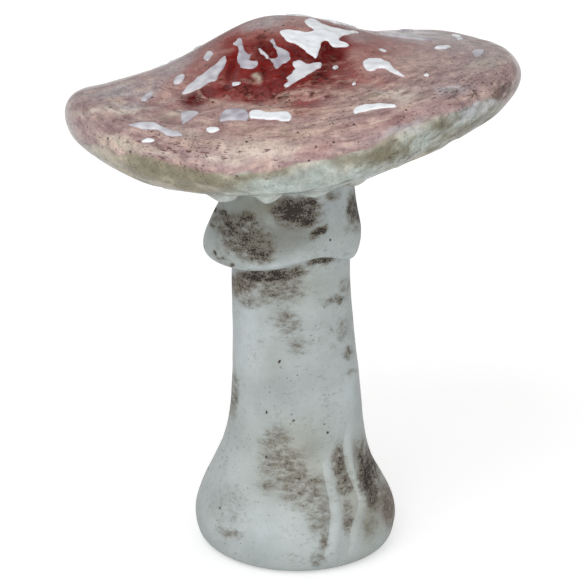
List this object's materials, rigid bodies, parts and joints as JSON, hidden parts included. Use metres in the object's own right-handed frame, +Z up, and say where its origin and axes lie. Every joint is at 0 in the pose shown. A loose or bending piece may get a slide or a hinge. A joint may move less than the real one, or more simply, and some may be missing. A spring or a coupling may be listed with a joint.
{
  "type": "ceramic mushroom ornament",
  "caption": "Hand-formed glazed mushroom: a wide tilted cap with a scalloped underside lifts off a hollow stem with a drooping skirt and a swollen foot.",
  "frame": {"origin": "floor level under the middle of the cap's outline, on the axis of the stem's neck", "axes": "+Z up along the neck, +X to the viewer's right in the picture, -Y towards the viewer"},
  "size_m": [0.1687, 0.1688, 0.2102],
  "materials": {
    "crown_glaze": "gloss",
    "underside_glaze": "gloss",
    "stem_glaze": "satin",
    "raw_clay": "matte"
  },
  "bodies": {
    "stem": {"stem_wall": "stem_glaze", "stem_floor": "raw_clay", "stem_skirt": "stem_glaze", "foot_run_left": "stem_glaze", "foot_run_right": "stem_glaze"},
    "cap": {"cap_crown": "crown_glaze", "cap_underside": "underside_glaze", "cap_flange": "raw_clay"}
  },
  "joints": [
    {"name": "cap_lift", "type": "slide", "parent": "stem", "child": "cap", "axis": [0, 0, 1], "range_m": [0, 0.04]}
  ]
}
